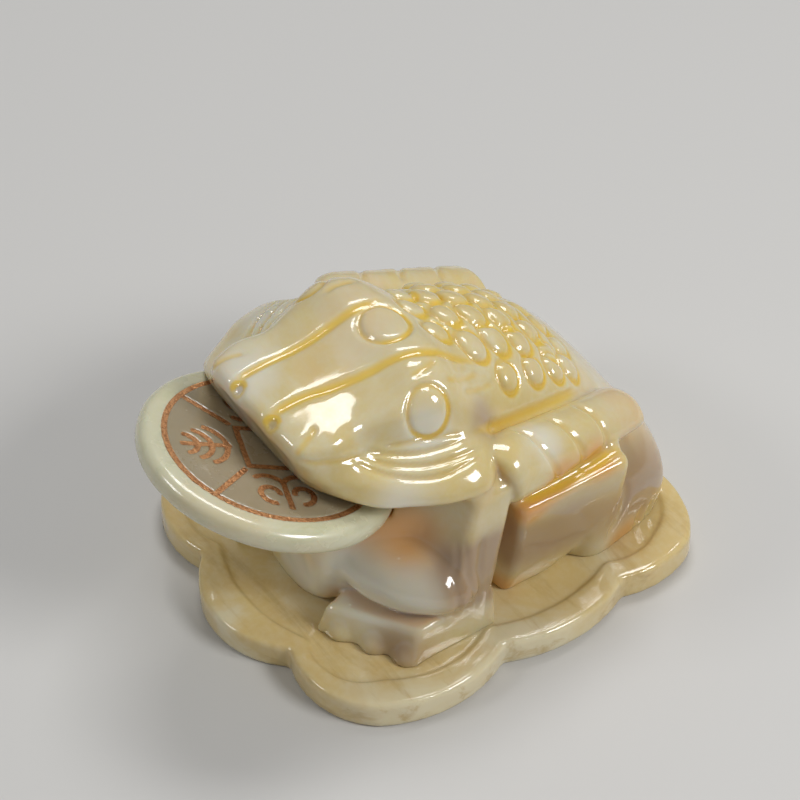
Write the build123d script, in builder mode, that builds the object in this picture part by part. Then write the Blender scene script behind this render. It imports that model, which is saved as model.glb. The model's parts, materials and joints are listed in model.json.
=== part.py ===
from build123d import *
import os
from math import cos, hypot, radians, sin

os.makedirs("parts", exist_ok=True)

# A carved jade toad that holds a loose coin in its mouth and stands on a lobed jade plate.
# The origin is the middle of the plate's underside. The toad looks along -Y and Z is up.
# All lengths are millimetres and all angles are degrees.

# Driving dimensions: the plate
plate_length = 108.0
plate_width = 89.6
plate_thickness = 6.8
recess_depth = 1.0
recess_inset = 6.0
recess_gap = 0.3
plate_edge_radius = 0.9
recess_edge_radius = 0.6
notch_x = 16.4
end_notch_depth = 7.6
side_notch_depth = 3.6
front_notch_y = -9.8
rear_notch_y = 21.5
corner_setback = (4.9, 13.2)
front_lobe_middle = (26.5, -25.0)
side_lobe_middle = 5.8
rear_lobe_middle = (27.0, 31.0)
rear_lobe_setback = 2.2
notch_radius = 1.4
corner_radius = 8.0
underside_chamfer = 0.4

# Driving dimensions: the coin and where it sits
coin_diameter = 54.4
coin_thickness = 5.8
coin_rim_radius = 2.6
coin_tilt = 19.5
coin_roll = 2.5
coin_spin = 20.0
coin_centre = (0.1, -39.8, 44.9)
coin_clearance = 0.35

# Driving dimensions: the gilt line work let into the coin
gilt_depth = 0.5
gilt_sink = 0.1
gilt_line = 1.2
gilt_ring_radius = 22.0
gilt_square_side = 12.0

# Driving dimensions: the toad
floor_height = plate_thickness - recess_depth
string_radius = 7.0
string_front = (29.3, -7.0, 45.2)
string_rear = (23.0, 35.0, 32.0)
string_coin_grooves = 3
string_groove_depth = 0.9
string_end_radius = 3.0
thigh_outside = 37.0
thigh_inside = 24.0
thigh_outer_front = (-1, 34)
thigh_outer_rear = (24, 34)
thigh_inner_front = (-4, 36)
thigh_inner_rear = (27, 34)
thigh_inner_low = (12, -2)
foot_height = 6.5
foot_taper = 12
foot_outline = ((34.6, -9.8), (20.0, -14.0), (13.0, -33.0), (15.0, -36.5), (34.8, -25.5))
toe_radius = 3.6
toe_places = ((31.6, -27.6), (25.2, -31.2), (18.0, -34.6))
forearm_centre = (21.0, -21.5, 18.0)
forearm_length = 28.0
forearm_radius = 8.5
forearm_turn = 26.0
haunch_centre = (15.0, 31.0, 16.0)
haunch_radius = 15.0
slot_length = 40.0

plate_end = plate_length / 2
plate_side = plate_width / 2
coin_radius = coin_diameter / 2


def plate_outline(inset):
    """Eight lobes: one at each end, one on each side and one at each corner, all drawn in by inset."""
    notch_y = plate_end - end_notch_depth - 0.75 * inset
    side_notch_x = plate_side - side_notch_depth - inset
    side_lobe_x = plate_side - inset
    corner_x = plate_side - corner_setback[0] - 0.9 * inset
    corner_y = plate_end - corner_setback[1] - 0.9 * inset
    end_y = plate_end - 1.35 * inset
    front_lobe_x, front_lobe_y = front_lobe_middle
    rear_lobe_x, rear_lobe_y = rear_lobe_middle
    with BuildLine() as outline:
        ThreePointArc((-notch_x, -notch_y), (0, -end_y), (notch_x, -notch_y))
        ThreePointArc((notch_x, -notch_y), (front_lobe_x, -notch_y - 1.5), (corner_x, -corner_y))
        ThreePointArc((corner_x, -corner_y), (side_lobe_x, front_lobe_y), (side_notch_x, front_notch_y))
        ThreePointArc(
            (side_notch_x, front_notch_y), (side_lobe_x, side_lobe_middle), (side_notch_x, rear_notch_y)
        )
        ThreePointArc(
            (side_notch_x, rear_notch_y), (side_lobe_x - rear_lobe_setback, rear_lobe_y), (corner_x, corner_y)
        )
        ThreePointArc((corner_x, corner_y), (rear_lobe_x, notch_y + 0.8), (notch_x, notch_y))
        ThreePointArc((notch_x, notch_y), (0, end_y), (-notch_x, notch_y))
        mirror(outline.edges()[1:6], about=Plane.YZ)
    return outline.line


def round_outline(sketch, notch, corner):
    """Rounds the corner lobes well and the notches between lobes a little."""
    corners = [v for v in sketch.vertices() if abs(v.X) > 30 and abs(v.Y) > 30]
    fillet(corners, corner)
    notches = [v for v in sketch.vertices() if abs(abs(v.X) - notch_x) < 0.01 or abs(v.Y) < 22]
    fillet(notches, notch)


# The plate: a lobed slab with a shallow recessed panel that the toad stands in
with BuildPart() as base_plate:
    with BuildSketch() as slab:
        add(plate_outline(0))
        make_face()
        round_outline(slab, notch_radius, corner_radius)
    extrude(amount=plate_thickness)
    fillet(base_plate.edges().group_by(Axis.Z)[-1], plate_edge_radius)
    chamfer(base_plate.edges().group_by(Axis.Z)[0], underside_chamfer)
    with BuildSketch(Plane.XY.offset(plate_thickness)) as panel:
        add(plate_outline(recess_inset))
        make_face()
        round_outline(panel, notch_radius, corner_radius)
    extrude(amount=-recess_depth, mode=Mode.SUBTRACT)
    top_face = base_plate.faces().filter_by(Axis.Z).sort_by(Axis.Z)[-1]
    fillet(top_face.inner_wires()[0].edges(), recess_edge_radius)
base_plate.part.label = "base_plate"
export_step(base_plate.part, "parts/base_plate.step")

# The coin lies in this plane: x across the toad, y down into the mouth and z out of its upper face.
travel = Vector(0, -cos(radians(coin_tilt)), sin(radians(coin_tilt)))
upright = Vector(0, sin(radians(coin_tilt)), cos(radians(coin_tilt)))
face_normal = upright * cos(radians(coin_roll)) + Vector(sin(radians(coin_roll)), 0, 0)
coin_plane = Plane(origin=coin_centre, x_dir=face_normal.cross(travel), z_dir=face_normal)
pattern_x = coin_plane.x_dir.rotate(Axis((0, 0, 0), face_normal), -coin_spin)
face_plane = Plane(origin=coin_plane.offset(coin_thickness / 2).origin, x_dir=pattern_x, z_dir=face_normal)


def ring_lines():
    """The engraved ring near the coin's rim."""
    with BuildLine() as lines:
        CenterArc((0, 0), gilt_ring_radius, 0, 360)
    return lines.line


def square_lines():
    """The outline of the square at the coin's middle."""
    with BuildLine() as lines:
        half = gilt_square_side / 2
        Polyline((-half, -half), (half, -half), (half, half), (-half, half), close=True)
    return lines.line


def spoke_lines(turn):
    """One spoke, from just outside a corner of the square to just inside the ring."""
    inner = hypot(gilt_square_side, gilt_square_side) / 2 + gilt_line
    outer = gilt_ring_radius - 0.55 * gilt_line
    with BuildLine() as lines:
        PolarLine((inner * cos(radians(turn)), inner * sin(radians(turn))), outer - inner, turn)
    return lines.line


def sprig_lines():
    """A sprig that points away from the square: a stem with three pairs of curved leaves."""
    with BuildLine() as lines:
        Line((8.2, 0), (19.2, 0))
        for start, reach, rise in ((9.2, 4.2, 5.6), (12.4, 3.6, 4.4), (15.4, 2.8, 3.0)):
            for side in (-1, 1):
                tip = (start + reach, side * rise)
                ThreePointArc((start, 0), (start + 0.35 * reach, 0.68 * side * rise), tip)
    return lines.line


def cloud_lines():
    """A cloud scroll: a pair of curls over a curved tail."""
    with BuildLine() as lines:
        for side in (-1, 1):
            curl = ThreePointArc((14.6, side * 1.6), (12.2, side * 3.6), (14.2, side * 5.6))
            TangentArc(curl @ 1, (17.2, side * 2.6), tangent=curl % 1)
            ThreePointArc((9.6, side * 6.0), (8.8, side * 2.8), (10.8, 0))
        Line((10.8, 0), (19.0, 0))
    return lines.line


# The gilt line work: each field's strokes, named after the side of the coin they lie on
gilt_strokes = {
    "gilt_ring": [ring_lines()],
    "gilt_square": [square_lines()],
    "gilt_spokes": [spoke_lines(45 + 90 * quarter) for quarter in range(4)],
    "gilt_motif_front": [sprig_lines().rotate(Axis.Z, -90)],
    "gilt_motif_back": [sprig_lines().rotate(Axis.Z, 90)],
    "gilt_motif_left": [cloud_lines()],
    "gilt_motif_right": [cloud_lines().rotate(Axis.Z, 180)],
}

# The coin: a disc with a well rounded rim and the grooves that hold the gilt
with BuildPart() as coin_disc:
    with BuildSketch(coin_plane.offset(-coin_thickness / 2)):
        Circle(coin_radius)
    extrude(amount=coin_thickness)
    fillet(coin_disc.edges().filter_by(GeomType.CIRCLE), coin_rim_radius)
    for strokes in gilt_strokes.values():
        with BuildSketch(face_plane):
            for stroke in strokes:
                add(stroke)
                trace(stroke, gilt_line)
        extrude(amount=-gilt_depth, mode=Mode.SUBTRACT)
coin_disc.part.label = "coin_disc"
export_step(coin_disc.part, "parts/coin_disc.step")

# The gilt fills the grooves to just under the coin's face
for name, strokes in gilt_strokes.items():
    with BuildPart() as gilt:
        with BuildSketch(face_plane.offset(-gilt_depth)):
            for stroke in strokes:
                add(stroke)
                trace(stroke, gilt_line)
        extrude(amount=gilt_depth - gilt_sink)
    gilt.part.label = name
    export_step(gilt.part, f"parts/{name}.step")


def section_outline(half_profile):
    """A closed smooth outline from points down its +X side, top middle to bottom middle."""
    mirrored = [(-x, z) for x, z in reversed(half_profile[1:-1])]
    with BuildLine() as outline:
        Spline(*half_profile, *mirrored, periodic=True)
    return outline.line


# One string of coins, as a fat grooved roll that narrows in towards the rump
string_line = Vector(*string_rear) - Vector(*string_front)
string_plane = Plane(origin=string_front, z_dir=string_line)
with BuildPart() as coin_string:
    with BuildSketch(string_plane):
        Circle(string_radius)
    extrude(amount=string_line.length)
    fillet(coin_string.edges().filter_by(GeomType.CIRCLE), string_end_radius)
    for groove in range(1, string_coin_grooves + 1):
        along = string_line.length * groove / (string_coin_grooves + 1)
        with BuildSketch(string_plane.offset(along)):
            Circle(string_radius + 1)
            Circle(string_radius - string_groove_depth, mode=Mode.SUBTRACT)
        extrude(amount=string_groove_depth, mode=Mode.SUBTRACT)

# The hind leg's outer facet: leaf shaped, widest along its upper edge and leaning in to the floor
with BuildPart() as thigh:
    with BuildSketch(Plane.YZ.offset(thigh_outside)):
        with BuildLine():
            Spline(thigh_outer_front, (12, 36.5), thigh_outer_rear)
            Spline(thigh_outer_rear, (14, 30), thigh_outer_front)
        make_face()
    with BuildSketch(Plane.YZ.offset(thigh_inside)):
        with BuildLine():
            Spline(thigh_inner_front, (11, 40), thigh_inner_rear)
            Spline(thigh_inner_rear, thigh_inner_low, thigh_inner_front)
        make_face()
    loft()

# The front foot: a flat block with three blunt toes
with BuildPart() as front_foot:
    with BuildSketch(Plane.XY.offset(floor_height)):
        with BuildLine():
            Polyline(*foot_outline, close=True)
        make_face()
        with Locations(*toe_places):
            Circle(toe_radius)
    extrude(amount=foot_height, taper=foot_taper)

# The front leg, from the floor up into the shoulder: height, middle and radii of each section
leg_sections = (
    (floor_height, (28.5, -11.5), (6.0, 8.0)),
    (18.0, (29.0, -10.0), (5.0, 8.0)),
    (30.0, (28.5, -8.0), (5.5, 8.0)),
    (46.0, (22.0, -5.0), (6.0, 7.0)),
)
with BuildPart() as front_leg:
    for height, centre, radii in leg_sections:
        with BuildSketch(Plane.XY.offset(height)):
            with Locations(centre):
                Ellipse(*radii)
    loft()

# The forearm's bulge between the elbow and the chest, and the round of the haunch
forearm_way = (cos(radians(forearm_turn)), sin(radians(forearm_turn)), 0)
forearm_plane = Plane(origin=forearm_centre, x_dir=forearm_way, z_dir=(0, 0, 1))
with BuildPart() as forearm:
    with BuildSketch(forearm_plane):
        Ellipse(forearm_length / 2, forearm_radius)
        with Locations((0, -forearm_radius / 2)):
            Rectangle(forearm_length + 1, forearm_radius, mode=Mode.SUBTRACT)
    revolve(axis=Axis(forearm_plane.origin, forearm_plane.x_dir))

with BuildPart() as haunch:
    with Locations(haunch_centre):
        Sphere(haunch_radius)

# Sections of the toad across Y: where each is, and its half outline as x and z
body_sections = {
    -36: [(0, 33), (10, 30), (13, 20), (11, 9), (0, 3)],
    -26: [(0, 42), (17, 38), (21, 26), (18, 9), (0, 3)],
    -12: [(0, 55), (21, 47), (26, 32), (24, 9), (0, 3)],
    1: [(0, 61), (20, 51), (26, 36), (25, 9), (0, 3)],
    13: [(0, 58), (20, 47.5), (26, 34), (26, 9), (0, 3)],
    25: [(0, 49), (19, 41), (26, 30), (26, 9), (0, 3)],
    37: [(0, 35), (17, 29), (24, 20), (24, 9), (0, 3)],
    48: [(0, 15), (9, 14.5), (14, 12), (12, 10), (0, 9)],
}
head_sections = {
    -44.5: [(0, 61.5), (11, 60.5), (15, 56), (12, 50), (0, 49)],
    -38: [(0, 62.6), (14, 61.6), (19, 55), (20, 48), (0, 44)],
    -27: [(0, 63.9), (15, 62), (24, 54), (29, 47), (0, 40)],
    -15: [(0, 66), (17, 64.6), (28, 54), (33, 47), (0, 38)],
    -6: [(0, 65), (15, 63), (25, 54), (27, 46), (0, 36)],
    2: [(0, 62), (13, 58), (20, 50), (21, 44), (0, 36)],
    10: [(0, 58), (13, 54), (19, 46), (19, 40), (0, 36)],
}

# The toad: body and head lofted along Y, with legs, strings and the mouth's slot
with BuildPart() as toad:
    for sections in (body_sections, head_sections):
        for y, half_profile in sections.items():
            with BuildSketch(Plane.XZ.offset(-y)):
                add(section_outline(half_profile))
                make_face()
        loft()
    for side in (1, -1):
        for limb in (coin_string, thigh, front_foot, front_leg, forearm, haunch):
            add(limb.part if side == 1 else limb.part.mirror(Plane.YZ))
    with BuildSketch(coin_plane.offset(-coin_thickness / 2 - coin_clearance)):
        Circle(coin_radius + coin_clearance)
        with Locations((0, -slot_length / 2)):
            Rectangle(coin_diameter + 2 * coin_clearance, slot_length)
    extrude(amount=coin_thickness + 2 * coin_clearance, mode=Mode.SUBTRACT)
    split(bisect_by=Plane.XY.offset(floor_height), keep=Keep.TOP)
    with BuildSketch(Plane.XY.offset(floor_height)) as rim:
        Rectangle(2 * plate_width, 2 * plate_length)
        with BuildSketch(mode=Mode.SUBTRACT):
            add(plate_outline(recess_inset + recess_gap))
            make_face()
    extrude(amount=recess_depth + recess_gap, mode=Mode.SUBTRACT)
toad.part.label = "toad"
export_step(toad.part, "parts/toad.step")
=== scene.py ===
"""The looks of a carved jade toad that holds a loose coin in its mouth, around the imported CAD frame.

The toad is sculpted as a signed distance field in millimetres, meshed once and then handed to Blender
in metres. It looks along -Y, Z is up and +X is its left side.
"""

import json
import math

import bpy
import numpy as np
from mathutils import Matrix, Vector


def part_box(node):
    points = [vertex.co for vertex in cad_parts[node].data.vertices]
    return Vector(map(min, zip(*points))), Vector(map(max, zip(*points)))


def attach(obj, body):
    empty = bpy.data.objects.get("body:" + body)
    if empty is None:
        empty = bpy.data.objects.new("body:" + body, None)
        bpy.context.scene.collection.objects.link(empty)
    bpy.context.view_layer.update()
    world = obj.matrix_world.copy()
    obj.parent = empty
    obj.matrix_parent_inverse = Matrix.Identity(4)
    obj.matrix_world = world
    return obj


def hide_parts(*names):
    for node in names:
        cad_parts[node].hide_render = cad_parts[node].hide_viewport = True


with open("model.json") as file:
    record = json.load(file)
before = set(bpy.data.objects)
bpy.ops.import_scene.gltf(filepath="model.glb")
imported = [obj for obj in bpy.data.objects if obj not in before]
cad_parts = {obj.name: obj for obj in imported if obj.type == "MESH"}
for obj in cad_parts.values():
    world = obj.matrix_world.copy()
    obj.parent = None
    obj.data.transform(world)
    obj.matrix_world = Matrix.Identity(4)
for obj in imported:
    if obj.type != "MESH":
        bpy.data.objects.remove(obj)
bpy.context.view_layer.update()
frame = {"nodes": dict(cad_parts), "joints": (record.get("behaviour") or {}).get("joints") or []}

MM = 0.001
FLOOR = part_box("toad")[0].z / MM
FINE_STEP = 0.55
COARSE_STEPS = 4

# ---- sculpt: distance helpers, all in millimetres ----


def blend_union(a, b, soft):
    """Joins two distances, with a fillet about soft wide."""
    share = np.clip(0.5 + 0.5 * (b - a) / soft, 0, 1)
    return b * (1 - share) + a * share - soft * share * (1 - share)


def blend_meet(a, b, soft):
    """Keeps what lies in both, with an edge rounded by about soft."""
    return -blend_union(-a, -b, soft)


def blend_cut(a, b, soft):
    """Takes b out of a."""
    return -blend_union(-a, b, soft)


def half_space(p, point, normal):
    """Distance to a plane, positive on the side its normal points to."""
    normal = np.array(normal, float)
    return (p - np.array(point, float)) @ (normal / np.linalg.norm(normal))


def faceted(p, soft, *planes):
    """A convex block between planes, each a point and an outward normal."""
    inside = half_space(p, *planes[0])
    for plane in planes[1:]:
        inside = blend_meet(inside, half_space(p, *plane), soft)
    return inside


def ellipsoid(p, centre, radii, turn=0.0, tip=0.0):
    """An ellipsoid turned about Z and then tipped about its own X, in degrees."""
    c, s = math.cos(math.radians(turn)), math.sin(math.radians(turn))
    ct, st = math.cos(math.radians(tip)), math.sin(math.radians(tip))
    axes = np.array([[c, s, 0], [-s * ct, c * ct, st], [s * st, -c * st, ct]])
    q = (p - np.array(centre, float)) @ axes.T / np.array(radii, float)
    near = np.linalg.norm(q, axis=1) + 1e-9
    steep = np.linalg.norm(q / np.array(radii, float), axis=1) + 1e-9
    return near * (near - 1) / steep


def along_line(p, start, end):
    """Distance from the line between two points, and the share of the way along it."""
    start, end = np.array(start, float), np.array(end, float)
    span = end - start
    share = np.clip((p - start) @ span / (span @ span), 0, 1)
    return np.linalg.norm(p - start - share[:, None] * span, axis=1), share


def rod(p, start, end, start_radius, end_radius):
    """A round-ended rod that may taper."""
    near, share = along_line(p, start, end)
    return near - start_radius - (end_radius - start_radius) * share


def smooth_curve(points, steps=10):
    """A Catmull-Rom curve through points."""
    points = np.array(points, float)
    padded = np.vstack([2 * points[0] - points[1], points, 2 * points[-1] - points[-2]])
    t = np.linspace(0, 1, steps, endpoint=False)[:, None]
    spans = []
    for a, b, c, d in zip(padded, padded[1:], padded[2:], padded[3:]):
        spans.append(
            0.5 * (2 * b + (c - a) * t + (2 * a - 5 * b + 4 * c - d) * t**2 + (3 * b - a - 3 * c + d) * t**3)
        )
    return np.vstack(spans + [points[-1:]])


class Loft:
    """A symmetric solid along Y through half outlines, as the radius about a middle line at each angle."""

    ANGLES = 121
    STEP = 0.5

    def __init__(self, sections):
        self.low, self.high = min(sections), max(sections)
        angles = np.linspace(0, math.pi, self.ANGLES)
        places, rows, middles = [], [], []
        for y in sorted(sections):
            outline = np.array(sections[y], float)
            middle = 0.5 * (outline[0, 1] + outline[-1, 1])
            mirror = np.array([-1, 1])
            ring = np.vstack([outline[1] * mirror, outline, outline[-2] * mirror])
            curve = smooth_curve(ring)[10:-10]
            turn = np.arctan2(np.maximum(curve[:, 0], 0), curve[:, 1] - middle)
            order = np.argsort(turn)
            radius = np.hypot(curve[:, 0], curve[:, 1] - middle)
            places.append(y)
            middles.append(middle)
            rows.append(np.interp(angles, turn[order], radius[order]))
        places, rows = np.array(places, float), np.column_stack([rows, middles])
        slopes = np.gradient(rows, places, axis=0)
        y = np.arange(self.low, self.high + self.STEP, self.STEP)
        i = np.clip(np.searchsorted(places, y, side="right") - 1, 0, len(places) - 2)
        gap = (places[i + 1] - places[i])[:, None]
        t = np.clip((y - places[i])[:, None] / gap, 0, 1)
        dense = (
            (2 * t**3 - 3 * t**2 + 1) * rows[i]
            + (t**3 - 2 * t**2 + t) * gap * slopes[i]
            + (3 * t**2 - 2 * t**3) * rows[i + 1]
            + (t**3 - t**2) * gap * slopes[i + 1]
        )
        self.middle = dense[:, -1]
        self.radius = dense[:, :-1]
        by_y, by_angle = np.gradient(self.radius, self.STEP, angles[1])
        self.steep = np.sqrt(1 + by_y**2 + (by_angle / self.radius) ** 2)

    def distance(self, p):
        y = np.clip((p[:, 1] - self.low) / self.STEP, 0, len(self.middle) - 1.001)
        row = y.astype(int)
        up = p[:, 2] - self.middle[row] - (y - row) * (self.middle[row + 1] - self.middle[row])
        turn = np.arctan2(np.abs(p[:, 0]), up) / math.pi * (self.ANGLES - 1)
        turn = np.clip(turn, 0, self.ANGLES - 1.001)
        column = turn.astype(int)
        u, v = y - row, turn - column

        def look(table):
            first = table[row, column] * (1 - v) + table[row, column + 1] * v
            second = table[row + 1, column] * (1 - v) + table[row + 1, column + 1] * v
            return first * (1 - u) + second * u

        return (np.hypot(p[:, 0], up) - look(self.radius)) / look(self.steep)


# Half outlines across Y, as x and z from the top middle down to the bottom middle
BODY = Loft({
    -38: [(0, 30), (8, 27), (11, 19), (9, 9), (0, 3)],
    -32: [(0, 37), (12, 33), (15, 22), (12, 9), (0, 3)],
    -24: [(0, 42), (17, 38), (21, 26), (18, 9), (0, 3)],
    -12: [(0, 55), (21, 47), (26, 32), (24, 9), (0, 3)],
    0: [(0, 61.5), (12, 58.5), (21, 50.5), (26, 36), (25, 9), (0, 3)],
    12: [(0, 58.4), (12, 55.2), (20, 47.5), (26, 34), (26, 9), (0, 3)],
    24: [(0, 50), (11, 47.5), (19, 42), (26, 30), (26, 9), (0, 3)],
    36: [(0, 36.5), (10, 35), (18, 30), (24, 21), (25, 9), (0, 3)],
    44: [(0, 23), (10, 22), (17, 19), (20, 14), (19, 9), (0, 3)],
    49: [(0, 12), (8, 12), (13, 11), (15, 8), (13, 5), (0, 3)],
})
HEAD = Loft({
    -47: [(0, 60.4), (7, 60.2), (12, 59.2), (14, 57.5), (14.5, 54), (11, 50), (0, 48)],
    -41: [(0, 62.2), (8, 62), (13.5, 61.4), (16.4, 59.8), (17.8, 56), (18.5, 51.5), (13, 47), (0, 46)],
    -35: [(0, 63.1), (8, 62.9), (14.5, 62.2), (17.9, 60.6), (20.2, 56), (24.5, 51.5), (24, 47.5), (0, 44)],
    -28: [(0, 63.8), (8, 63.3), (14, 62.4), (17, 60.8), (20.2, 56),
          (28.5, 51), (29.5, 47), (20, 43.5), (0, 42)],
    -20: [(0, 65), (9, 64.8), (15.5, 63.8), (19.3, 61.6), (23, 56),
          (32, 50.6), (33.5, 46.8), (26, 43), (0, 40)],
    -12: [(0, 66.6), (10, 66.8), (16.8, 65.7), (21.2, 62.4), (24.5, 56.5),
          (32.5, 50.4), (33.6, 46.4), (26, 43), (0, 40)],
    -7: [(0, 66), (9.5, 66.2), (15.8, 64.8), (20, 61.6), (23.5, 56),
         (28.6, 50), (28.6, 45.5), (22, 42), (0, 40)],
    -2: [(0, 63.4), (9, 62.8), (15, 60.2), (19, 56.5), (21.5, 51.5), (23, 47), (22, 43), (17, 41), (0, 40)],
    6: [(0, 59), (9, 57), (14, 53), (17, 49), (18, 46), (17, 43), (12, 41), (0, 40)],
})


# The lips sit slightly askew: how far back they shift for each millimetre to the left, below a height
LIP_SWING = 0.11
SWING_TOP, SWING_DEPTH = 61, 9

# Flat cuts through the body, the head and the strings' rear ends, each a point and an outward normal
RUMP_CUT = ((0, 48.5, 8), (0, 1, 0.25))
CHEST_CUT = ((0, -35.5, 10), (0, -1, -0.12))
SNOUT_CUT = ((0, -43.6, 60), (0, -1, -0.34))
NAPE_CUT = ((0, 5, 50), (0, 1, 0))
STRING_CUT = ((0, 31.2, 33), (-0.16, 1, -0.3))


def mirrored(p):
    """The same points with both sides folded onto +X."""
    return np.abs(p) * np.array([1, 0, 0]) + p * np.array([0, 1, 1])


STRING_START, STRING_END = (29.0, -2.5, 44.0), (23.3, 30.2, 33.0)
STRING_RADIUS = 7.6


def string_roll(q):
    """One string of coins, a fat roll with a flat cut along its lower outside and a cut front end."""
    roll = rod(q, STRING_START, STRING_END, STRING_RADIUS, STRING_RADIUS)
    roll = blend_meet(roll, half_space(q, (30, -5.5, 44), (0.3, -1, -0.1)), 1.6)
    return blend_meet(roll, half_space(q, (34.6, 6, 38.5), (1, 0.1, -0.75)), 1.6)


def thigh(q):
    """The hind leg's outer facet, leaf shaped, which leans in to the floor."""
    return faceted(
        q, 2.2,
        ((36.4, 10, 36), (0.98, -0.04, -0.18)),
        ((36, 10, 36.8), (0.25, 0, 1)),
        ((35, 25.8, 33), (0.2, 0.97, 0.05)),
        ((33.5, 24.0, 18), (0.2, 0.88, -0.44)),
        ((31.5, 18.0, 10), (0.25, 0.66, -0.72)),
        ((32.8, 8, 13), (0.9, 0, -0.43)),
        ((30, -1.5, 20), (0.15, -1, -0.06)),
        ((20, 10, 20), (-1, 0, 0)),
    )


def haunch(q):
    """The round of the rump outside the hind leg, with a flatter side."""
    round_part = ellipsoid(q, (15, 28.5, 13), (21, 17.5, 19), tip=-12)
    return blend_meet(round_part, half_space(q, (33.5, 30, 25), (1, 0.18, -0.12)), 2.5)


def front_leg(q):
    """The front leg's upright column, with flat cut faces."""
    return faceted(
        q, 1.8,
        ((34.6, -12, 20), (1, 0, -0.02)),
        ((33, -7.0, 20), (0.1, 1, -0.17)),
        ((30, -19.5, 20), (0.35, -1, 0.22)),
        ((20, -12, 20), (-1, 0, 0)),
        ((30, -12, 47), (0.35, 0, 1)),
    )


def forearm(q):
    """The milky bulge between elbow and chest."""
    return ellipsoid(q, (21.0, -21.0, 20.6), (17, 10.5, 8.2), turn=24)


def front_foot(q):
    """A low block with three blunt toes."""
    block = faceted(
        q, 1.2,
        ((34.6, -18, 9), (1, 0, 0.1)),
        ((24, -33.4, 8), (0.48, -0.88, 0.22)),
        ((24, -24, 14.2), (-0.06, -0.08, 1)),
        ((13.5, -30, 9), (-1, -0.2, 0.2)),
        ((30, -7, 9), (0, 1, 0)),
    )
    for toe in ((31.8, -27.4), (25.4, -31.0), (18.4, -34.4)):
        top = np.array([toe[0] - 1.5, toe[1] + 3.0, 11.0])
        block = blend_union(block, rod(q, top, (toe[0], toe[1], 6.5), 2.6, 3.2), 1.0)
    return block


COIN_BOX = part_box("coin_disc")
COIN_CENTRE = np.array((COIN_BOX[0] + COIN_BOX[1]) / 2) / MM
SLIDE = np.array(frame["joints"][0]["axis"], float)
COIN_ROLL = math.radians(2.5)
COIN_UP = np.array([math.sin(COIN_ROLL), SLIDE[2], -SLIDE[1]])
COIN_RADIUS, COIN_THICKNESS, COIN_GAP = 27.2, 5.8, 0.4
FIELD_RADIUS = 22.0


def mouth_slot(p):
    """The room the coin slides in, open at the front."""
    up = COIN_UP / np.linalg.norm(COIN_UP)
    q = p - COIN_CENTRE
    height = np.abs(q @ up) - COIN_THICKNESS / 2 - COIN_GAP
    out = np.maximum(q @ SLIDE, 0)
    flat = q - np.outer(q @ up, up) - out[:, None] * SLIDE
    return blend_meet(height, np.linalg.norm(flat, axis=1) - COIN_RADIUS - COIN_GAP, 0.6)


def base_form(p):
    """The toad before its surface carving."""
    q = mirrored(p)
    body = blend_meet(BODY.distance(p), half_space(p, *RUMP_CUT), 3)
    body = blend_meet(body, half_space(p, *CHEST_CUT), 3)
    low_share = np.clip((SWING_TOP - p[:, 2]) / SWING_DEPTH, 0, 1)
    swung = p - np.array([0, LIP_SWING, 0]) * (p[:, 0] * low_share)[:, None]
    head = blend_meet(HEAD.distance(swung), half_space(p, *SNOUT_CUT), 3.5)
    head = blend_meet(head, half_space(p, *NAPE_CUT), 3)
    toad = blend_union(body, head, 2.5)
    toad = blend_union(toad, haunch(q), 3.0)
    toad = blend_union(toad, thigh(q), 1.2)
    toad = blend_union(toad, front_leg(q), 2.0)
    toad = blend_union(toad, forearm(q), 2.2)
    toad = blend_union(toad, front_foot(q), 1.0)
    strings = blend_meet(string_roll(q), half_space(p, *STRING_CUT), 1.0)
    toad = blend_union(toad, strings, 0.8)
    toad = blend_cut(toad, mouth_slot(p), 0.5)
    return blend_meet(toad, FLOOR - p[:, 2], 0.4)


def slope_of(field, p, reach=0.25):
    """The field's unit slope, by differences along the corners of a tetrahedron."""
    slope = np.zeros_like(p)
    for corner in np.array([(1, 1, 1), (1, -1, -1), (-1, 1, -1), (-1, -1, 1)], float):
        slope += field(p + reach * corner)[:, None] * corner
    return slope / (np.linalg.norm(slope, axis=1)[:, None] + 1e-9)


def settle(field, p, rounds):
    """Moves points along the slope onto the field's surface."""
    for _ in range(rounds):
        step = np.clip(field(p), -3, 3)
        p = p - step[:, None] * slope_of(field, p)
    return p


# ---- sculpt: surface carving ----

# Each detail is a low corner, a high corner and a function that carves the points between them
details = []


def add_detail(points, reach, carve):
    """Files a carving that acts within reach of points."""
    points = np.atleast_2d(points)
    details.append((points.min(0) - reach, points.max(0) + reach, carve))


def add_groove(points, width=1.0, depth=0.6, stain=1.0, both=True, steps=8):
    """A rounded groove along a curve that is first settled on the surface, faded out at its ends."""
    curve = settle(base_form, smooth_curve(points, steps), 3)

    def carve(p):
        near = np.full(len(p), 1e9)
        place = np.zeros(len(p))
        for k, (a, b) in enumerate(zip(curve, curve[1:])):
            gap, share = along_line(p, a, b)
            closer = gap < near
            near[closer] = gap[closer]
            place[closer] = (k + share[closer]) / (len(curve) - 1)
        fade = np.clip(6 * np.minimum(place, 1 - place) + 0.25, 0, 1)
        profile = np.exp(-((near / width) ** 2)) * fade
        return depth * profile, stain * np.exp(-((near / (1.3 * width)) ** 2)) * fade

    add_detail(curve, 3 * width, carve)
    if both:
        flip = np.array([-1.0, 1.0, 1.0])
        add_detail(curve * flip, 3 * width, lambda p: carve(p * flip))


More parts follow.
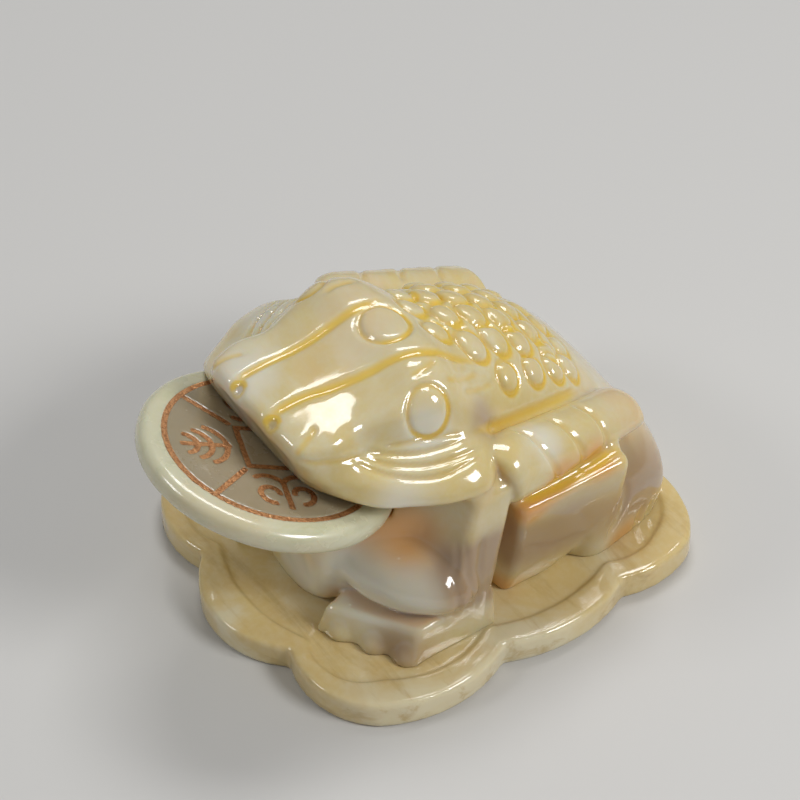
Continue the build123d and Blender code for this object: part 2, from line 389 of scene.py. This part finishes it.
def add_oval(centre, along, long_radius, short_radius, rise, ring=0.5, stain=1.0, ring_width=0.7):
    """A raised oval with a sunken outline. along is the direction of its long axis."""
    centre = settle(base_form, np.array([centre], float), 4)
    normal = slope_of(base_form, centre)[0]
    first = np.array(along, float)
    first -= (first @ normal) * normal
    first /= np.linalg.norm(first)
    second = np.cross(normal, first)
    reach = long_radius + 3 * ring_width

    def carve(p):
        q = p - centre[0]
        u, v = q @ first / long_radius, q @ second / short_radius
        out = np.hypot(u, v)
        off = (out - 1) * short_radius
        bump = rise * np.clip(1 - out**2, 0, 1) ** 0.6
        edge = np.exp(-(((off - 0.3 * ring_width) / ring_width) ** 2))
        fade = np.clip(2.5 - np.abs(q @ normal) / 2, 0, 1)
        return (ring * edge - bump) * fade, stain * edge * fade * (0.55 + 0.45 * np.clip(u + v + 0.3, 0, 1))

    add_detail(centre, reach, carve)


def carve_toad():
    """All the surface carving, from the head back to the rump."""
    # the long grooves from the nostrils over the brow; the left one swings out behind the brow
    left_brow = [
        (5.0, -42.4, 61), (4.8, -39, 62.5), (5.2, -34, 63), (6.6, -28, 63.5), (8.2, -21, 65),
        (9.0, -16, 66), (10.6, -11, 67), (12.0, -7, 66), (12.4, -2, 62), (13.4, 5, 58),
    ]
    right_brow = [
        (-7.4, -42.4, 61), (-7.5, -37.5, 62.5), (-7.0, -31, 63), (-6.5, -24, 64), (-6.8, -18, 65.5),
        (-6.5, -12, 66.5), (-6.0, -7, 66),
    ]
    for brow in (left_brow, right_brow):
        add_groove(brow, 0.95, 0.9, both=False, steps=4)
    for side in (-1, 1):
        # nostril pits, eyes under the brows and the short strokes behind them
        add_oval((side * 6.0, -42.4, 61.5), (0, 1, 0), 1.3, 1.3, -0.8, ring=0.3, ring_width=0.8)
        add_oval((side * 21.5, -15.0, 61.0), (side * 4, -4, -8), 4.9, 4.1, 0.15, ring=0.6, ring_width=0.6)
    add_groove([(15.2, -15, 66), (14.8, -11, 66), (14.0, -8, 66)], 0.8, 0.5, stain=0.6)
    add_groove([(18.2, -9, 64), (17.5, -4, 61), (15.5, 2, 58)], 0.7, 0.45, stain=0.55)
    add_groove([(19.6, -5, 59.5), (18.6, 0, 57), (17.0, 4, 55)], 0.7, 0.5, stain=0.55)
    add_groove([(14.5, -42.2, 59), (14.2, -39, 61.5), (12.6, -36, 62.4)], 0.7, 0.35, stain=0.6)
    # the ring between the brows
    add_oval((0, -10.5, 66.5), (1, 0, 0), 5.3, 4.9, 0.15, ring=0.65, ring_width=0.65)
    # the lines of the smile, over the lip band
    for line, depth in (
        ([(20.2, -25, 56.5), (24, -15, 56.5), (25.5, -10, 55.5)], 0.5),
        ([(19.5, -29, 57), (23.5, -21.5, 55), (25.7, -15.5, 55), (26.5, -10, 54.8)], 0.75),
        ([(19.5, -30, 56.3), (23.5, -25, 54), (27, -19, 53.5), (28.7, -13, 53.5), (28.6, -8, 52.5)], 0.7),
        ([(20.3, -31.5, 55.8), (24.5, -27, 53.2), (28.2, -21.5, 52), (30, -16, 51.8), (29.6, -9, 51.8)], 0.8),
        ([(15, -42, 58.6), (18.5, -36, 57.6), (19.5, -30, 56.4)], 0.45),
    ):
        add_groove(line, 0.6, 1.25 * depth, stain=0.6)
    # warts in rows down the back, long across the body
    for x, y, size in (
        (-3.6, -2.0, 0.85), (4.6, -1.6, 0.85), (-9.4, -0.5, 0.9), (0.6, 4.2, 0.9), (9.6, 4.6, 1.08),
        (-7.6, 4.8, 1.0), (1.8, 10.4, 1.0), (-5.6, 10.6, 1.0), (9.0, 11.0, 1.05), (-12.6, 8.6, 0.95),
        (3.2, 16.6, 1.0), (-3.8, 16.4, 0.95), (9.2, 17.2, 1.0), (-10.4, 15.4, 0.95), (-1.2, 21.8, 0.9),
        (5.6, 22.6, 0.95), (-7.8, 21.4, 0.9), (10.8, 23.4, 0.85), (1.8, 27.6, 0.8), (-4.6, 27.2, 0.8),
        (7.8, 28.4, 0.8),
    ):
        above = (x, y, 62 - 0.02 * y * y - 0.02 * x * x)
        add_oval(above, (1, 0.35, 0), 3.9 * size, 2.6 * size, 0.75 * size, ring=0.5, ring_width=0.6)
    for y in (8.6, 16.0, 22.4, 28.4):
        for side in (-1, 1):
            above = (side * (17.4 - 0.1 * y), y, 54 - 0.4 * (y - 8))
            add_oval(above, (side, -0.1, -0.8), 3.4, 2.5, 0.9, ring=0.5, ring_width=0.6)
    # the line between back and string of coins
    flank = [
        (25.2, -8, 54), (23.6, -2, 50.5), (22.4, 4.5, 48), (21.6, 10, 46.6), (20.8, 15, 45.2),
        (19.4, 21, 43.2), (18, 26, 41),
    ]
    add_groove(flank, 1.1, 1.0, stain=0.8)
    # gaps between the coins of each string
    for gap in (
        [(26, 3, 50), (28.4, 4.4, 49.6), (31.5, 5.5, 48.5), (34, 6.5, 46), (35, 7.6, 42), (33.8, 8, 37.5)],
        [(25, 12, 47), (27.6, 13.4, 46.6), (30.5, 14.6, 45), (33, 15.6, 42), (34.2, 15.6, 37)],
        [(22.6, 21, 43.6), (25.6, 22, 43.4), (28.5, 23, 42.5), (31.4, 23.4, 40.5), (33.6, 22.4, 37)],
    ):
        add_groove(gap, 0.75, 0.95, stain=0.55, steps=5)
    # the amber line under the string, over the thigh, whose full stain also paints the shade line there
    add_groove([(33, -1, 37.6), (34, 8, 37.2), (33.6, 17, 36.4), (32.4, 24, 35)], 1.2, 1.1)
    # the crease between thigh and haunch
    add_groove([(34, 27.5, 32), (33.5, 28, 25), (33, 27, 17), (32.5, 24, 10)], 1.1, 1.3, stain=0.45)
    # toes of the hind feet and folds on the front leg
    for y in (34.5, 38.5):
        add_groove([(31.5, y, 12), (33, y - 0.6, 9), (33, y - 1.0, 5.8)], 0.8, 0.8, stain=0.5)
    for y in (-17.0, -14.0, -11.0):
        add_groove([(33.0, y, 34), (34.3, y - 0.6, 26), (34.6, y - 1.2, 14)], 0.8, 0.4, stain=0.15)


WAVER_RATE = 0.3
TOAD_WAVER = 0.12


def hand_waver(p):
    """A gentle unevenness from -1 to 1, with waves about 20 long."""
    x, y, z = (p * WAVER_RATE).T
    across = np.sin(x + 1.4 * np.sin(0.7 * y + 0.4))
    along = np.sin(y + 1.2 * np.sin(0.8 * z))
    return across * along * np.sin(0.9 * z + 0.9 * x + 1.1)


def carved_form(p):
    """The finished toad: distance, and how strongly the stain of the grooves shows."""
    distance = base_form(p) + TOAD_WAVER * hand_waver(p)
    stain = np.zeros(len(p))
    for low, high, carve in details:
        near = np.flatnonzero(np.all((p > low) & (p < high), axis=1))
        if len(near):
            shift, colour = carve(p[near])
            distance[near] += shift
            stain[near] = np.maximum(stain[near], colour)
    return distance, stain


def carved_distance(p):
    """The finished toad's distance alone."""
    return carved_form(p)[0]


# ---- sculpt: meshing ----


def grid_points(low, step, shape):
    """The points of a grid, one row each."""
    axes = [low[k] + step * np.arange(shape[k]) for k in range(3)]
    return np.stack(np.meshgrid(*axes, indexing="ij"), -1).reshape(-1, 3)


def stretch(values, factor):
    """Linear interpolation of a grid onto one with factor times as many steps, one axis at a time."""
    for axis in range(3):
        values = np.moveaxis(values, axis, 0)
        parts = [values[:-1] + (values[1:] - values[:-1]) * k / factor for k in range(factor)]
        inner = np.stack(parts, 1).reshape(-1, *values.shape[1:])
        values = np.moveaxis(np.concatenate([inner, values[-1:]]), 0, axis)
    return values


def surface_net(field, low, high, step):
    """Vertices and quads of a field's surface: one vertex per crossed cell, one quad per crossed edge."""
    coarse = step * COARSE_STEPS
    cells = np.ceil((np.array(high) - low) / coarse).astype(int) + 1
    rough = field(grid_points(low, coarse, cells)).reshape(cells)
    values = stretch(rough, COARSE_STEPS)
    shape = values.shape
    close = np.flatnonzero(np.abs(values.ravel()) < 1.1 * coarse)
    where = np.stack(np.unravel_index(close, shape), 1) * step + low
    flat = values.ravel()
    for start in range(0, len(close), 200000):
        part = slice(start, start + 200000)
        flat[close[part]] = field(where[part])
    values = flat.reshape(shape)
    inside = values < 0
    corner = [np.array(c) for c in np.ndindex(2, 2, 2)]
    size = [n - 1 for n in shape]

    def view(grid, offset):
        return grid[tuple(slice(o, o + n) for o, n in zip(offset, size))]

    count = sum(view(inside, c).astype(int) for c in corner)
    cell = np.argwhere((count > 0) & (count < 8))
    total = np.zeros((len(cell), 3))
    crossings = np.zeros(len(cell))
    for a in corner:
        for axis in range(3):
            if a[axis]:
                continue
            b = a.copy()
            b[axis] = 1
            va, vb = values[tuple((cell + a).T)], values[tuple((cell + b).T)]
            crossed = (va < 0) != (vb < 0)
            share = np.where(crossed, va / np.where(crossed, va - vb, 1), 0)
            point = a + share[:, None] * (b - a)
            total += point * crossed[:, None]
            crossings += crossed
    vertices = (cell + total / crossings[:, None]) * step + low
    index = np.full(size, -1)
    index[tuple(cell.T)] = np.arange(len(cell))
    quads = []
    for axis in range(3):
        forward = [0, 0, 0]
        forward[axis] = 1
        one, two = [k for k in range(3) if k != axis]
        edge = np.argwhere(view(inside, (0, 0, 0)) != view(inside, forward))
        edge = edge[(edge[:, one] > 0) & (edge[:, two] > 0)]
        steps = []
        for back_one, back_two in ((1, 1), (0, 1), (0, 0), (1, 0)):
            place = edge.copy()
            place[:, one] -= back_one
            place[:, two] -= back_two
            steps.append(index[tuple(place.T)])
        quad = np.stack(steps, 1)
        turned = inside[tuple(edge.T)] == (axis == 1)
        quad[turned] = quad[turned][:, ::-1]
        quads.append(quad)
    return vertices, np.vstack(quads)


def mesh_object(name, vertices, faces, **attributes):
    """A smooth shaded Blender object in metres from arrays in millimetres."""
    mesh = bpy.data.meshes.new(name)
    mesh.vertices.add(len(vertices))
    mesh.vertices.foreach_set("co", (vertices * MM).astype(np.float32).ravel())
    sides = faces.shape[1]
    mesh.loops.add(faces.size)
    mesh.loops.foreach_set("vertex_index", faces.astype(np.int32).ravel())
    mesh.polygons.add(len(faces))
    mesh.polygons.foreach_set("loop_start", np.arange(0, faces.size, sides, dtype=np.int32))
    mesh.polygons.foreach_set("loop_total", np.full(len(faces), sides, np.int32))
    for key, values in attributes.items():
        mesh.attributes.new(key, "FLOAT", "POINT").data.foreach_set("value", values.astype(np.float32))
    mesh.update(calc_edges=True)
    mesh.validate()
    mesh.shade_smooth()
    thing = bpy.data.objects.new(name, mesh)
    bpy.context.scene.collection.objects.link(thing)
    return thing


# Centre and reach of each zone where painted amber shade and glow lie on the stone (on both sides alike),
# clouds to milk white or blushes brown, the blush darkened into painted shade
PAINTED_AMBER_ZONES = (
    ((23, -21, 32), 9), ((14, -31, 34), 7), ((34.2, 8.7, 39.5), 5), ((34, 19, 38), 5), ((35.4, 0.5, 35), 5),
    ((29, -2, 5), 7), ((33, 29, 6), 6),
)
MILKY_ZONES = (
    ((20, -27, 19), 11), ((27, -26, 46), 8), ((-8, -40, 58), 9), ((30, 6, 46), 6), ((-26, -20, 50), 9),
    ((-30, 28, 38), 7), ((22, -16, 58), 6), ((10, 40, 20), 9), ((30, -23, 24), 8), ((23, -29, 22), 8),
    ((4, -36, 14), 8),
)
# the blush zones lie mostly on the downward-facing thigh, front leg, foot and haunch: a brown blush darkened
# as painted shade
BLUSH_AND_SHADE_ZONES = (
    ((34, 10, 22), 14), ((34, -12, 24), 10), ((30, -28, 8), 7), ((31, 34, 20), 12), ((33, -10, 24), 9),
    ((22, -4, 52), 6), ((-33, 10, 22), 14),
)
# How far out along the slope a point looks for its neighbours' shelter, which sets the painted shade in
# hollows
HOLLOW_REACHES = (3.0, 7.0)


def zone_strength(points, zones):
    """How strongly points lie in the zones, as a sum of bells."""
    return sum(np.exp(-(((points - np.array(place)) / reach) ** 2).sum(1)) for place, reach in zones)


def build_toad():
    """Meshes the carved toad, with the stain of its grooves and the painted amber shade and glow of its
    hollows as attributes.
    """
    carve_toad()
    low, high = (np.array(corner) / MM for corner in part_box("toad"))
    vertices, quads = surface_net(carved_distance, low - 3, high + 3, FINE_STEP)
    vertices = settle(carved_distance, vertices, 1)
    stain = carved_form(vertices)[1]
    normal = slope_of(base_form, vertices)
    painted_hollow_shade = np.zeros(len(vertices))
    for reach in HOLLOW_REACHES:
        painted_hollow_shade += 0.5 * np.clip(1 - base_form(vertices + reach * normal) / reach, 0, 1)
    milk = zone_strength(vertices, MILKY_ZONES)
    # brown blush that also serves as painted shade on the downward-facing legs and haunch
    blush_and_shade = zone_strength(vertices, BLUSH_AND_SHADE_ZONES)
    painted_amber = zone_strength(mirrored(vertices), PAINTED_AMBER_ZONES)
    # painted amber shade and glow: sheltered hollows, under the lip and strings and near the floor
    painted_hollow_shade = np.maximum(0.5 * painted_hollow_shade, np.minimum(painted_amber, 1))
    marks = dict(groove_stain=stain, painted_hollow_shade=painted_hollow_shade, milk=milk, blush_and_shade=blush_and_shade)
    return mesh_object("toad_carving", vertices, quads, **marks)


def soften_node(node, name, voxel, rounds, waver):
    """A copy of a CAD node's mesh with worn edges and slightly uneven faces, as if cut by hand."""
    source = frame["nodes"][node]
    thing = bpy.data.objects.new(name, source.data.copy())
    bpy.context.scene.collection.objects.link(thing)
    remesh = thing.modifiers.new("remesh", "REMESH")
    remesh.mode, remesh.voxel_size = "VOXEL", voxel * MM * 1
    smooth = thing.modifiers.new("smooth", "SMOOTH")
    smooth.factor, smooth.iterations = 0.5, rounds
    bpy.context.view_layer.update()
    shaped = thing.evaluated_get(bpy.context.evaluated_depsgraph_get())
    mesh = bpy.data.meshes.new_from_object(shaped)
    thing.modifiers.clear()
    thing.data = mesh
    count = len(mesh.vertices)
    place, normal = np.zeros(count * 3), np.zeros(count * 3)
    mesh.vertices.foreach_get("co", place)
    mesh.vertex_normals.foreach_get("vector", normal)
    place, normal = place.reshape(-1, 3) / MM, normal.reshape(-1, 3)
    shift = waver * hand_waver(place) * np.clip(place[:, 2] - 0.5, 0, 1)
    place += shift[:, None] * normal
    place[:, 2] = np.maximum(place[:, 2], 0)
    mesh.vertices.foreach_set("co", (place * MM).ravel())
    mesh.shade_smooth()
    mesh.update()
    return thing


def mark_field(thing):
    """Marks the coin's upper face inside its gilt ring, as the attribute field, where painted shade is laid.
    """
    mesh = thing.data
    place = np.zeros(len(mesh.vertices) * 3)
    mesh.vertices.foreach_get("co", place)
    q = place.reshape(-1, 3) / MM - COIN_CENTRE
    up = COIN_UP / np.linalg.norm(COIN_UP)
    height = q @ up
    out = np.linalg.norm(q - np.outer(height, up), axis=1)
    field = np.clip((FIELD_RADIUS - out) / 0.8, 0, 1) * (height > 0)
    mesh.attributes.new("field", "FLOAT", "POINT").data.foreach_set("value", field.astype(np.float32))


# ---- materials ----


class Nodes:
    """Short helpers to build a material's node tree."""

    def __init__(self, name):
        self.material = bpy.data.materials.new(name)
        self.material.use_nodes = True
        self.tree = self.material.node_tree
        self.shader = self.tree.nodes["Principled BSDF"]
        self.place = self.tree.nodes.new("ShaderNodeTexCoord").outputs["Object"]

    def link(self, output, target):
        self.tree.links.new(output, target)

    def scaled(self, scale):
        node = self.tree.nodes.new("ShaderNodeMapping")
        node.inputs["Scale"].default_value = scale
        self.link(self.place, node.inputs["Vector"])
        return node.outputs["Vector"]

    def noise(self, scale, detail=4.0, roughness=0.55, distortion=0.0, vector=None):
        node = self.tree.nodes.new("ShaderNodeTexNoise")
        node.inputs["Scale"].default_value = scale
        node.inputs["Detail"].default_value = detail
        node.inputs["Roughness"].default_value = roughness
        node.inputs["Distortion"].default_value = distortion
        self.link(vector or self.place, node.inputs["Vector"])
        return node.outputs["Fac"]

    def remap(self, value, low, high, new_low=0.0, new_high=1.0):
        node = self.tree.nodes.new("ShaderNodeMapRange")
        node.interpolation_type = "SMOOTHSTEP"
        for key, number in zip(("From Min", "From Max", "To Min", "To Max"), (low, high, new_low, new_high)):
            node.inputs[key].default_value = number
        self.link(value, node.inputs["Value"])
        return node.outputs["Result"]

    def attribute(self, name):
        node = self.tree.nodes.new("ShaderNodeAttribute")
        node.attribute_name = name
        return node.outputs["Fac"]

    def mix(self, share, first, second):
        node = self.tree.nodes.new("ShaderNodeMix")
        node.data_type = "RGBA"
        for key, value in (("Factor", share), ("A", first), ("B", second)):
            socket = [s for s in node.inputs if s.name == key and s.enabled][0]
            if isinstance(value, bpy.types.NodeSocket):
                self.link(value, socket)
            elif key == "Factor":
                socket.default_value = value
            else:
                socket.default_value = (*value, 1)
        return [s for s in node.outputs if s.enabled][0]

    def bump(self, height, strength, distance):
        node = self.tree.nodes.new("ShaderNodeBump")
        node.inputs["Strength"].default_value = strength
        node.inputs["Distance"].default_value = distance
        self.link(height, node.inputs["Height"])
        self.link(node.outputs["Normal"], self.shader.inputs["Normal"])


# Colours laid over the stone: its clouds, its blushes darkened into painted shade, painted amber shade and
# glow in its hollows, the stain in its grooves and painted shade over the coin's engraved face
MILK = (0.72, 0.70, 0.61)
# a brown blush, dark enough to serve as painted shade
BLUSH_AND_SHADE = (0.34, 0.22, 0.13)
# painted amber shade and glow
PAINTED_AMBER_SHADE = (0.66, 0.33, 0.09)
HONEY = (0.76, 0.52, 0.06)
# painted shade of the head over the coin's face
FIELD_SHADE = (0.24, 0.17, 0.10)


def jade(name, body, milky, warm, streak, streak_way, gloss=0.11, glow=0.5, carved=False, shaded_field=False):
    """Polished jade: clouded body colour with milky and warm patches, fine streaks and a wet polish."""
    n = Nodes(name)
    cloud = n.noise(34, 5, 0.6, 0.6)
    colour = n.mix(n.remap(cloud, 0.42, 0.66, 0.0, 0.8), body, milky)
    patch = n.noise(21, 4, 0.55, 0.8, n.scaled((1.0, 1.2, 1.5)))
    colour = n.mix(n.remap(patch, 0.5, 0.72, 0.0, 0.75), colour, warm)
    lines = n.noise(1.0, 6, 0.65, 0.5, n.scaled(streak_way))
    colour = n.mix(n.remap(lines, 0.48, 0.7, 0.0, 0.7), colour, streak)
    grain = n.noise(620, 3, 0.6)
    colour = n.mix(n.remap(grain, 0.35, 0.75, 0.0, 0.18), colour, milky)
    if carved:
        colour = n.mix(n.remap(n.attribute("milk"), 0.15, 0.9, 0.0, 0.75), colour, MILK)
        # brown blush and painted shade on the downward-facing legs and haunch
        colour = n.mix(n.remap(n.attribute("blush_and_shade"), 0.1, 1.0, 0.0, 0.85), colour, BLUSH_AND_SHADE)
        # painted shade and glow: amber in sheltered hollows and the listed zones
        colour = n.mix(n.remap(n.attribute("painted_hollow_shade"), 0.1, 1.05, 0.0, 0.95), colour, PAINTED_AMBER_SHADE)
        colour = n.mix(n.remap(n.attribute("groove_stain"), 0.12, 0.85, 0.0, 0.88), colour, HONEY)
    # painted shade: darkens the coin's face inside the gilt ring, where the head shades it
    if shaded_field:
        colour = n.mix(n.remap(n.attribute("field"), 0.0, 1.0, 0.0, 0.75), colour, FIELD_SHADE)
    n.link(colour, n.shader.inputs["Base Color"])
    n.link(n.remap(n.noise(160, 4, 0.6), 0.3, 0.8, gloss * 0.7, gloss * 1.6), n.shader.inputs["Roughness"])
    n.shader.inputs["Subsurface Weight"].default_value = glow
    n.shader.inputs["Subsurface Radius"].default_value = (1.0, 0.68, 0.30)
    n.shader.inputs["Subsurface Scale"].default_value = 0.005
    n.shader.inputs["IOR"].default_value = 1.61
    n.shader.inputs["Coat Weight"].default_value = 0.4
    n.shader.inputs["Coat Roughness"].default_value = 0.04
    n.bump(n.noise(150, 4, 0.5), 0.02, 0.002)
    return n.material


def gilt():
    """Copper gold paint with a rough grain."""
    n = Nodes("gilt_paint")
    grain = n.noise(1500, 4, 0.7)
    colour = n.mix(n.remap(grain, 0.3, 0.7), (0.40, 0.16, 0.06), (0.78, 0.42, 0.20))
    n.link(colour, n.shader.inputs["Base Color"])
    n.shader.inputs["Metallic"].default_value = 0.85
    n.link(n.remap(n.noise(700, 3, 0.6), 0.3, 0.7, 0.28, 0.5), n.shader.inputs["Roughness"])
    n.bump(grain, 0.5, 0.0006)
    return n.material


def paint(thing, material):
    """Gives a thing one material."""
    thing.data.materials.clear()
    thing.data.materials.append(material)


toad = build_toad()
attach(toad, "figure")
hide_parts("toad")
paint(toad, jade(
    "toad_stone",
    body=(0.65, 0.52, 0.23), milky=(0.68, 0.63, 0.46), warm=(0.68, 0.48, 0.26), streak=(0.64, 0.53, 0.30),
    streak_way=(26, 70, 90), carved=True,
))
plate = soften_node("base_plate", "plate_stone_slab", voxel=0.6, rounds=6, waver=0.16)
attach(plate, "figure")
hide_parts("base_plate")
paint(plate, jade(
    "plate_stone",
    body=(0.68, 0.52, 0.23), milky=(0.76, 0.69, 0.48), warm=(0.62, 0.42, 0.16), streak=(0.50, 0.34, 0.12),
    streak_way=(30, 160, 200), glow=0.15,
))
coin = soften_node("coin_disc", "coin_stone_disc", voxel=0.35, rounds=2, waver=0.06)
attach(coin, "coin")
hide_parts("coin_disc")
mark_field(coin)
paint(coin, jade(
    "coin_stone",
    body=(0.62, 0.60, 0.42), milky=(0.70, 0.69, 0.55), warm=(0.62, 0.53, 0.32), streak=(0.50, 0.50, 0.31),
    streak_way=(140, 24, 200), glow=0.2, gloss=0.22, shaded_field=True,
))
gilt_material = gilt()
for node_name, node in frame["nodes"].items():
    if node_name.startswith("gilt_"):
        paint(node, gilt_material)

# ---- floor, lights and camera, in metres ----

FIGURE_MIDDLE = (0, 0, 0.03)
SOFTBOXES = (
    ("key", (0.62, 0.30, 0.62), (0.34, 0.24), 4.1),
    ("left", (-0.35, -0.75, 0.70), (0.30, 0.20), 1.7),
    ("top", (-0.30, 0.30, 0.95), (0.5, 0.30), 3.8),
)


def add_floor():
    """A plain pale sweep, flat under the plate."""
    size, flat, rise, turns = 3.0, 0.9, 1.2, 24
    rows = [(-size, 0.0), (flat, 0.0)]
    for t in np.linspace(0, math.pi / 2, turns)[1:]:
        rows.append((flat + rise * math.sin(t), rise * (1 - math.cos(t))))
    verts = [(x, y, z) for y, z in rows for x in (-size, size)]
    faces = [(2 * i, 2 * i + 1, 2 * i + 3, 2 * i + 2) for i in range(len(rows) - 1)]
    mesh = bpy.data.meshes.new("floor")
    mesh.from_pydata(verts, [], faces)
    mesh.shade_smooth()
    floor = bpy.data.objects.new("floor", mesh)
    bpy.context.scene.collection.objects.link(floor)
    n = Nodes("floor_paint")
    n.shader.inputs["Base Color"].default_value = (0.62, 0.61, 0.59, 1)
    n.shader.inputs["Roughness"].default_value = 0.6
    floor.data.materials.append(n.material)


def add_softbox(name, place, size, power):
    """A rectangular light that faces the figurine's middle."""
    light = bpy.data.lights.new(name, "AREA")
    light.shape, light.size, light.size_y, light.energy = "RECTANGLE", size[0], size[1], power
    lamp = bpy.data.objects.new(name, light)
    lamp.location = place
    lamp.rotation_euler = (Vector(FIGURE_MIDDLE) - Vector(place)).to_track_quat("-Z", "Y").to_euler()
    bpy.context.scene.collection.objects.link(lamp)


def add_camera():
    """Seen from the toad's left front, from above, through a long lens."""
    azimuth, elevation, distance = math.radians(54.5), math.radians(45.0), 0.7056
    target = Vector((-0.015, 0.004, 0.024))
    level = math.cos(elevation)
    back = Vector((math.sin(azimuth) * level, -math.cos(azimuth) * level, math.sin(elevation)))
    data = bpy.data.cameras.new("camera")
    data.lens, data.sensor_width = 148.5, 36.0
    camera = bpy.data.objects.new("camera", data)
    camera.location = target + distance * back
    camera.rotation_euler = back.to_track_quat("Z", "Y").to_euler()
    bpy.context.scene.collection.objects.link(camera)
    bpy.context.scene.camera = camera


def add_world():
    """A dim, even, slightly cool surround."""
    world = bpy.data.worlds.new("studio")
    world.use_nodes = True
    background = world.node_tree.nodes["Background"]
    background.inputs["Color"].default_value = (0.95, 0.97, 1.0, 1)
    background.inputs["Strength"].default_value = 0.22
    bpy.context.scene.world = world


add_floor()
for name, place, size, power in SOFTBOXES:
    add_softbox(name, place, size, power)
add_world()
bpy.context.scene.view_settings.view_transform = "Standard"
add_camera()
